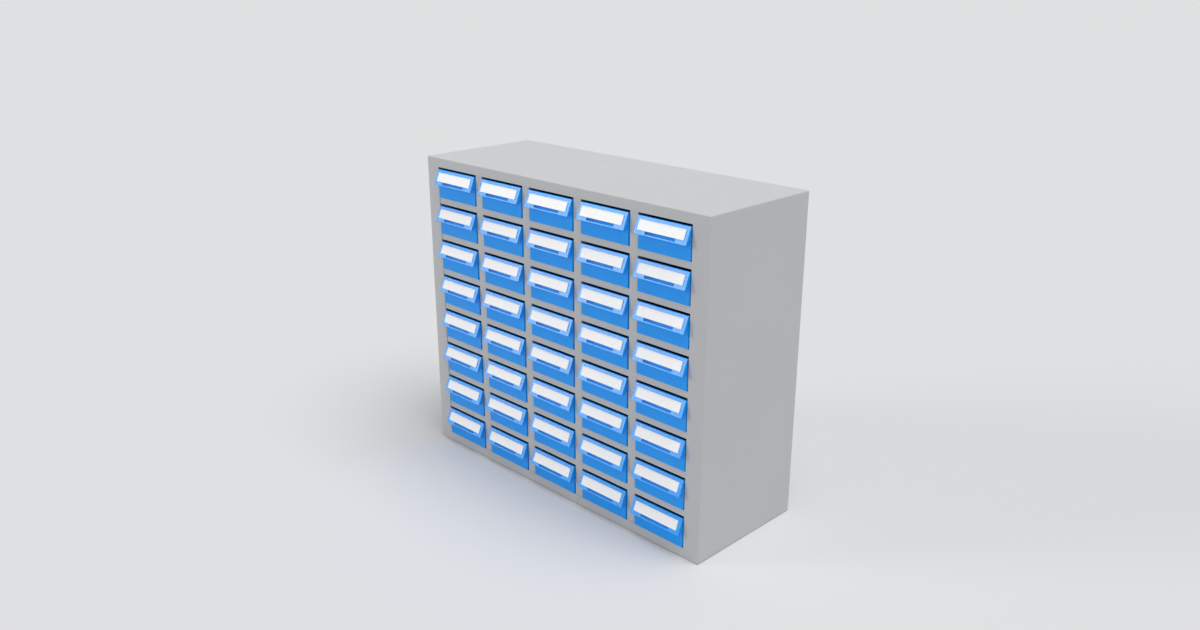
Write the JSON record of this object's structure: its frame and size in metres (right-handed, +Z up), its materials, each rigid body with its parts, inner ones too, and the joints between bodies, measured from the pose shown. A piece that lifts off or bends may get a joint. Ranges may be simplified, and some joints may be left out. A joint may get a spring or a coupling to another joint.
{
  "type": "parts drawer cabinet",
  "caption": "Grey sheet-steel cabinet for small parts with a grid of blue plastic drawers, each with a sloping label handle and finger window; every drawer slides out.",
  "frame": {"origin": "centre of the footprint, handles included, at base level", "axes": "+X along the width, to the right as seen from the drawers; +Y from the drawer fronts to the back panel; +Z up"},
  "size_m": [0.59, 0.2258, 0.5],
  "materials": {
    "cabinet_paint": "fine powder coat, satin",
    "drawer_plastic": "fine moulded grain, low gloss"
  },
  "bodies": {
    "cabinet": {"housing_shell": "cabinet_paint", "face_grid": "cabinet_paint", "back_panel": "cabinet_paint", "side_guide_left": "cabinet_paint", "side_guide_right": "cabinet_paint", "divider_1": "cabinet_paint", "divider_2": "cabinet_paint", "divider_3": "cabinet_paint", "divider_4": "cabinet_paint", "shelf_1": "cabinet_paint", "shelf_2": "cabinet_paint", "shelf_3": "cabinet_paint", "shelf_4": "cabinet_paint", "shelf_5": "cabinet_paint", "shelf_6": "cabinet_paint", "shelf_7": "cabinet_paint", "shelf_8": "cabinet_paint"},
    "drawer_r1_c1": {"drawer_r1_c1": "drawer_plastic"},
    "drawer_r1_c2": {"drawer_r1_c2": "drawer_plastic"},
    "drawer_r1_c3": {"drawer_r1_c3": "drawer_plastic"},
    "drawer_r1_c4": {"drawer_r1_c4": "drawer_plastic"},
    "drawer_r1_c5": {"drawer_r1_c5": "drawer_plastic"},
    "drawer_r2_c1": {"drawer_r2_c1": "drawer_plastic"},
    "drawer_r2_c2": {"drawer_r2_c2": "drawer_plastic"},
    "drawer_r2_c3": {"drawer_r2_c3": "drawer_plastic"},
    "drawer_r2_c4": {"drawer_r2_c4": "drawer_plastic"},
    "drawer_r2_c5": {"drawer_r2_c5": "drawer_plastic"},
    "drawer_r3_c1": {"drawer_r3_c1": "drawer_plastic"},
    "drawer_r3_c2": {"drawer_r3_c2": "drawer_plastic"},
    "drawer_r3_c3": {"drawer_r3_c3": "drawer_plastic"},
    "drawer_r3_c4": {"drawer_r3_c4": "drawer_plastic"},
    "drawer_r3_c5": {"drawer_r3_c5": "drawer_plastic"},
    "drawer_r4_c1": {"drawer_r4_c1": "drawer_plastic"},
    "drawer_r4_c2": {"drawer_r4_c2": "drawer_plastic"},
    "drawer_r4_c3": {"drawer_r4_c3": "drawer_plastic"},
    "drawer_r4_c4": {"drawer_r4_c4": "drawer_plastic"},
    "drawer_r4_c5": {"drawer_r4_c5": "drawer_plastic"},
    "drawer_r5_c1": {"drawer_r5_c1": "drawer_plastic"},
    "drawer_r5_c2": {"drawer_r5_c2": "drawer_plastic"},
    "drawer_r5_c3": {"drawer_r5_c3": "drawer_plastic"},
    "drawer_r5_c4": {"drawer_r5_c4": "drawer_plastic"},
    "drawer_r5_c5": {"drawer_r5_c5": "drawer_plastic"},
    "drawer_r6_c1": {"drawer_r6_c1": "drawer_plastic"},
    "drawer_r6_c2": {"drawer_r6_c2": "drawer_plastic"},
    "drawer_r6_c3": {"drawer_r6_c3": "drawer_plastic"},
    "drawer_r6_c4": {"drawer_r6_c4": "drawer_plastic"},
    "drawer_r6_c5": {"drawer_r6_c5": "drawer_plastic"},
    "drawer_r7_c1": {"drawer_r7_c1": "drawer_plastic"},
    "drawer_r7_c2": {"drawer_r7_c2": "drawer_plastic"},
    "drawer_r7_c3": {"drawer_r7_c3": "drawer_plastic"},
    "drawer_r7_c4": {"drawer_r7_c4": "drawer_plastic"},
    "drawer_r7_c5": {"drawer_r7_c5": "drawer_plastic"},
    "drawer_r8_c1": {"drawer_r8_c1": "drawer_plastic"},
    "drawer_r8_c2": {"drawer_r8_c2": "drawer_plastic"},
    "drawer_r8_c3": {"drawer_r8_c3": "drawer_plastic"},
    "drawer_r8_c4": {"drawer_r8_c4": "drawer_plastic"},
    "drawer_r8_c5": {"drawer_r8_c5": "drawer_plastic"}
  },
  "joints": [
    {"name": "drawer_r1_c1_slide", "type": "slide", "parent": "cabinet", "child": "drawer_r1_c1", "axis": [0, -1, 0], "range_m": [0, 0.164]},
    {"name": "drawer_r1_c2_slide", "type": "slide", "parent": "cabinet", "child": "drawer_r1_c2", "axis": [0, -1, 0], "range_m": [0, 0.164]},
    {"name": "drawer_r1_c3_slide", "type": "slide", "parent": "cabinet", "child": "drawer_r1_c3", "axis": [0, -1, 0], "range_m": [0, 0.164]},
    {"name": "drawer_r1_c4_slide", "type": "slide", "parent": "cabinet", "child": "drawer_r1_c4", "axis": [0, -1, 0], "range_m": [0, 0.164]},
    {"name": "drawer_r1_c5_slide", "type": "slide", "parent": "cabinet", "child": "drawer_r1_c5", "axis": [0, -1, 0], "range_m": [0, 0.164]},
    {"name": "drawer_r2_c1_slide", "type": "slide", "parent": "cabinet", "child": "drawer_r2_c1", "axis": [0, -1, 0], "range_m": [0, 0.164]},
    {"name": "drawer_r2_c2_slide", "type": "slide", "parent": "cabinet", "child": "drawer_r2_c2", "axis": [0, -1, 0], "range_m": [0, 0.164]},
    {"name": "drawer_r2_c3_slide", "type": "slide", "parent": "cabinet", "child": "drawer_r2_c3", "axis": [0, -1, 0], "range_m": [0, 0.164]},
    {"name": "drawer_r2_c4_slide", "type": "slide", "parent": "cabinet", "child": "drawer_r2_c4", "axis": [0, -1, 0], "range_m": [0, 0.164]},
    {"name": "drawer_r2_c5_slide", "type": "slide", "parent": "cabinet", "child": "drawer_r2_c5", "axis": [0, -1, 0], "range_m": [0, 0.164]},
    {"name": "drawer_r3_c1_slide", "type": "slide", "parent": "cabinet", "child": "drawer_r3_c1", "axis": [0, -1, 0], "range_m": [0, 0.164]},
    {"name": "drawer_r3_c2_slide", "type": "slide", "parent": "cabinet", "child": "drawer_r3_c2", "axis": [0, -1, 0], "range_m": [0, 0.164]},
    {"name": "drawer_r3_c3_slide", "type": "slide", "parent": "cabinet", "child": "drawer_r3_c3", "axis": [0, -1, 0], "range_m": [0, 0.164]},
    {"name": "drawer_r3_c4_slide", "type": "slide", "parent": "cabinet", "child": "drawer_r3_c4", "axis": [0, -1, 0], "range_m": [0, 0.164]},
    {"name": "drawer_r3_c5_slide", "type": "slide", "parent": "cabinet", "child": "drawer_r3_c5", "axis": [0, -1, 0], "range_m": [0, 0.164]},
    {"name": "drawer_r4_c1_slide", "type": "slide", "parent": "cabinet", "child": "drawer_r4_c1", "axis": [0, -1, 0], "range_m": [0, 0.164]},
    {"name": "drawer_r4_c2_slide", "type": "slide", "parent": "cabinet", "child": "drawer_r4_c2", "axis": [0, -1, 0], "range_m": [0, 0.164]},
    {"name": "drawer_r4_c3_slide", "type": "slide", "parent": "cabinet", "child": "drawer_r4_c3", "axis": [0, -1, 0], "range_m": [0, 0.164]},
    {"name": "drawer_r4_c4_slide", "type": "slide", "parent": "cabinet", "child": "drawer_r4_c4", "axis": [0, -1, 0], "range_m": [0, 0.164]},
    {"name": "drawer_r4_c5_slide", "type": "slide", "parent": "cabinet", "child": "drawer_r4_c5", "axis": [0, -1, 0], "range_m": [0, 0.164]},
    {"name": "drawer_r5_c1_slide", "type": "slide", "parent": "cabinet", "child": "drawer_r5_c1", "axis": [0, -1, 0], "range_m": [0, 0.164]},
    {"name": "drawer_r5_c2_slide", "type": "slide", "parent": "cabinet", "child": "drawer_r5_c2", "axis": [0, -1, 0], "range_m": [0, 0.164]},
    {"name": "drawer_r5_c3_slide", "type": "slide", "parent": "cabinet", "child": "drawer_r5_c3", "axis": [0, -1, 0], "range_m": [0, 0.164]},
    {"name": "drawer_r5_c4_slide", "type": "slide", "parent": "cabinet", "child": "drawer_r5_c4", "axis": [0, -1, 0], "range_m": [0, 0.164]},
    {"name": "drawer_r5_c5_slide", "type": "slide", "parent": "cabinet", "child": "drawer_r5_c5", "axis": [0, -1, 0], "range_m": [0, 0.164]},
    {"name": "drawer_r6_c1_slide", "type": "slide", "parent": "cabinet", "child": "drawer_r6_c1", "axis": [0, -1, 0], "range_m": [0, 0.164]},
    {"name": "drawer_r6_c2_slide", "type": "slide", "parent": "cabinet", "child": "drawer_r6_c2", "axis": [0, -1, 0], "range_m": [0, 0.164]},
    {"name": "drawer_r6_c3_slide", "type": "slide", "parent": "cabinet", "child": "drawer_r6_c3", "axis": [0, -1, 0], "range_m": [0, 0.164]},
    {"name": "drawer_r6_c4_slide", "type": "slide", "parent": "cabinet", "child": "drawer_r6_c4", "axis": [0, -1, 0], "range_m": [0, 0.164]},
    {"name": "drawer_r6_c5_slide", "type": "slide", "parent": "cabinet", "child": "drawer_r6_c5", "axis": [0, -1, 0], "range_m": [0, 0.164]},
    {"name": "drawer_r7_c1_slide", "type": "slide", "parent": "cabinet", "child": "drawer_r7_c1", "axis": [0, -1, 0], "range_m": [0, 0.164]},
    {"name": "drawer_r7_c2_slide", "type": "slide", "parent": "cabinet", "child": "drawer_r7_c2", "axis": [0, -1, 0], "range_m": [0, 0.164]},
    {"name": "drawer_r7_c3_slide", "type": "slide", "parent": "cabinet", "child": "drawer_r7_c3", "axis": [0, -1, 0], "range_m": [0, 0.164]},
    {"name": "drawer_r7_c4_slide", "type": "slide", "parent": "cabinet", "child": "drawer_r7_c4", "axis": [0, -1, 0], "range_m": [0, 0.164]},
    {"name": "drawer_r7_c5_slide", "type": "slide", "parent": "cabinet", "child": "drawer_r7_c5", "axis": [0, -1, 0], "range_m": [0, 0.164]},
    {"name": "drawer_r8_c1_slide", "type": "slide", "parent": "cabinet", "child": "drawer_r8_c1", "axis": [0, -1, 0], "range_m": [0, 0.164]},
    {"name": "drawer_r8_c2_slide", "type": "slide", "parent": "cabinet", "child": "drawer_r8_c2", "axis": [0, -1, 0], "range_m": [0, 0.164]},
    {"name": "drawer_r8_c3_slide", "type": "slide", "parent": "cabinet", "child": "drawer_r8_c3", "axis": [0, -1, 0], "range_m": [0, 0.164]},
    {"name": "drawer_r8_c4_slide", "type": "slide", "parent": "cabinet", "child": "drawer_r8_c4", "axis": [0, -1, 0], "range_m": [0, 0.164]},
    {"name": "drawer_r8_c5_slide", "type": "slide", "parent": "cabinet", "child": "drawer_r8_c5", "axis": [0, -1, 0], "range_m": [0, 0.164]}
  ]
}
